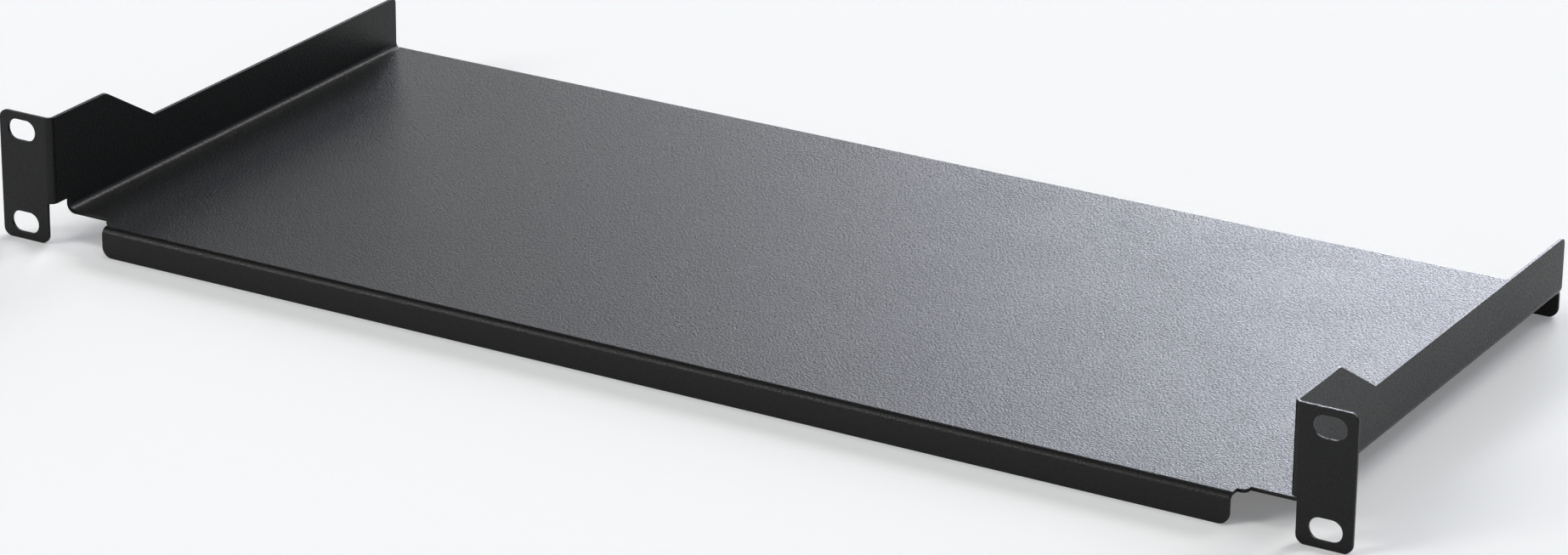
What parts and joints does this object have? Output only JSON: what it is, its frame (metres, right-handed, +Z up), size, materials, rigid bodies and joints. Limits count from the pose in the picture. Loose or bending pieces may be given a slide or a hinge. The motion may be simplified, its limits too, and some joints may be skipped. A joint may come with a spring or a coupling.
{
  "type": "cantilever rack shelf",
  "caption": "Shallow one-unit rack shelf folded from one steel sheet: a flat tray with low side walls, slotted mounting ears and stiffening lips.",
  "frame": {"origin": "centre of the four mounting slots, on the back faces of the two ears, which seat on the rack's front posts", "axes": "+X across the rack to the right as seen from its front, +Y from the posts towards the rear of the shelf, +Z up"},
  "size_m": [0.4826, 0.2, 0.0436],
  "materials": {
    "powder_coat": "black fine-textured powder coat, satin"
  },
  "bodies": {
    "root": {"shelf": "powder_coat"}
  },
  "joints": []
}
